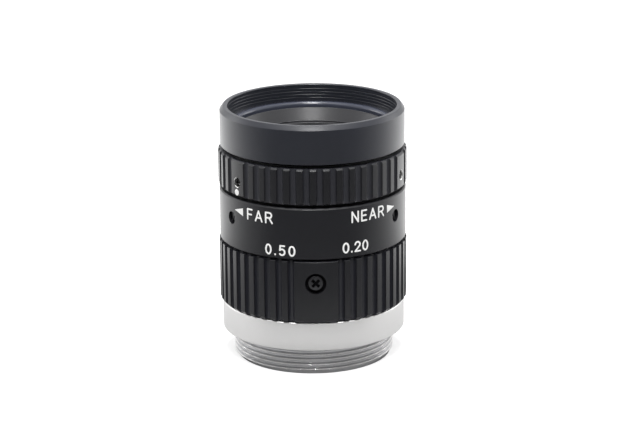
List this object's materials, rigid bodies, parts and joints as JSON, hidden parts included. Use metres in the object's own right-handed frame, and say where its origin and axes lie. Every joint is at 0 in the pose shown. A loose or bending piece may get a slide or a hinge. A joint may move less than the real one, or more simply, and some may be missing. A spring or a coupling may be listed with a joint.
{
  "type": "c-mount machine vision lens",
  "caption": "Fixed focal length machine vision lens with a grooved focus ring, a grooved iris ring, a blade diaphragm and a plated C-mount thread.",
  "frame": {"origin": "centre of the mount thread's end face, on which the lens stands", "axes": "+Z along the optical axis towards the scene, -Y the side with the iris drive screw"},
  "size_m": [0.0296, 0.0296, 0.0404],
  "materials": {
    "anodised_black": "satin black anodised",
    "inner_black": "matt black anodised",
    "satin_chrome": "satin plated",
    "screw_black": "black oxide",
    "brass": "turned",
    "print_white": "matt paint",
    "blade_steel": "blackened",
    "glass": "coated"
  },
  "bodies": {
    "root": {"mount_base": "satin_chrome", "main_barrel": "anodised_black", "guide_screw_1": "screw_black", "guide_screw_2": "screw_black", "guide_screw_3": "screw_black", "guide_pin": "brass"},
    "focus_unit": {"focus_ring": "anodised_black", "focus_grub_screw_1": "screw_black", "focus_grub_screw_2": "screw_black", "focus_grub_screw_3": "screw_black", "helicoid_sleeve": "inner_black"},
    "lens_unit": {"lens_barrel": "inner_black", "front_bezel": "anodised_black", "front_retaining_ring": "inner_black", "front_lens": "glass", "front_spacer": "inner_black", "second_lens": "glass", "iris_base_plate": "inner_black", "rear_lens_cell": "inner_black", "third_lens": "glass", "rear_spacer": "inner_black", "rear_lens": "glass", "rear_retaining_ring": "inner_black"},
    "iris_unit": {"iris_ring": "anodised_black", "iris_screw": "screw_black"},
    "cam_unit": {"iris_cam_ring": "brass"},
    "blade_unit_1": {"iris_blade_1": "blade_steel"},
    "blade_unit_2": {"iris_blade_2": "blade_steel"},
    "blade_unit_3": {"iris_blade_3": "blade_steel"},
    "blade_unit_4": {"iris_blade_4": "blade_steel"},
    "blade_unit_5": {"iris_blade_5": "blade_steel"},
    "blade_unit_6": {"iris_blade_6": "blade_steel"}
  },
  "joints": [
    {"name": "focus_turn", "type": "hinge", "parent": "root", "child": "focus_unit", "pos_m": [0, 0, 0.0309], "axis": [0, 0, 1], "range_deg": [0, 115.5]},
    {"name": "focus_travel", "type": "slide", "parent": "root", "child": "lens_unit", "axis": [0, 0, 1], "range_m": [0, 0.00115]},
    {"name": "iris_turn", "type": "hinge", "parent": "root", "child": "iris_unit", "pos_m": [0, 0, 0.01555], "axis": [0, 0, 1], "range_deg": [0, 50]},
    {"name": "cam_turn", "type": "hinge", "parent": "lens_unit", "child": "cam_unit", "pos_m": [0, 0, 0.0156], "axis": [0, 0, 1], "range_deg": [0, 50.5]},
    {"name": "blade_turn_1", "type": "hinge", "parent": "lens_unit", "child": "blade_unit_1", "pos_m": [0.00115, -0.00872, 0.01653], "axis": [0, 0, 1], "range_deg": [0, 27.3]},
    {"name": "blade_turn_2", "type": "hinge", "parent": "lens_unit", "child": "blade_unit_2", "pos_m": [0.00813, -0.00337, 0.01678], "axis": [0, 0, 1], "range_deg": [0, 27.3]},
    {"name": "blade_turn_3", "type": "hinge", "parent": "lens_unit", "child": "blade_unit_3", "pos_m": [0.00698, 0.00536, 0.01702], "axis": [0, 0, 1], "range_deg": [0, 27.3]},
    {"name": "blade_turn_4", "type": "hinge", "parent": "lens_unit", "child": "blade_unit_4", "pos_m": [-0.00115, 0.00872, 0.01727], "axis": [0, 0, 1], "range_deg": [0, 27.3]},
    {"name": "blade_turn_5", "type": "hinge", "parent": "lens_unit", "child": "blade_unit_5", "pos_m": [-0.00813, 0.00337, 0.01752], "axis": [0, 0, 1], "range_deg": [0, 27.3]},
    {"name": "blade_turn_6", "type": "hinge", "parent": "lens_unit", "child": "blade_unit_6", "pos_m": [-0.00698, -0.00536, 0.01777], "axis": [0, 0, 1], "range_deg": [0, 27.3]}
  ],
  "couplings": [
    {"joint": "focus_turn", "follows": "focus_travel", "rad_per_m": 1745.3},
    {"joint": "cam_turn", "follows": "iris_turn", "ratio": 1},
    {"joint": "blade_turn_1", "follows": "iris_turn", "ratio": 0.54},
    {"joint": "blade_turn_2", "follows": "iris_turn", "ratio": 0.54},
    {"joint": "blade_turn_3", "follows": "iris_turn", "ratio": 0.54},
    {"joint": "blade_turn_4", "follows": "iris_turn", "ratio": 0.54},
    {"joint": "blade_turn_5", "follows": "iris_turn", "ratio": 0.54},
    {"joint": "blade_turn_6", "follows": "iris_turn", "ratio": 0.54}
  ]
}
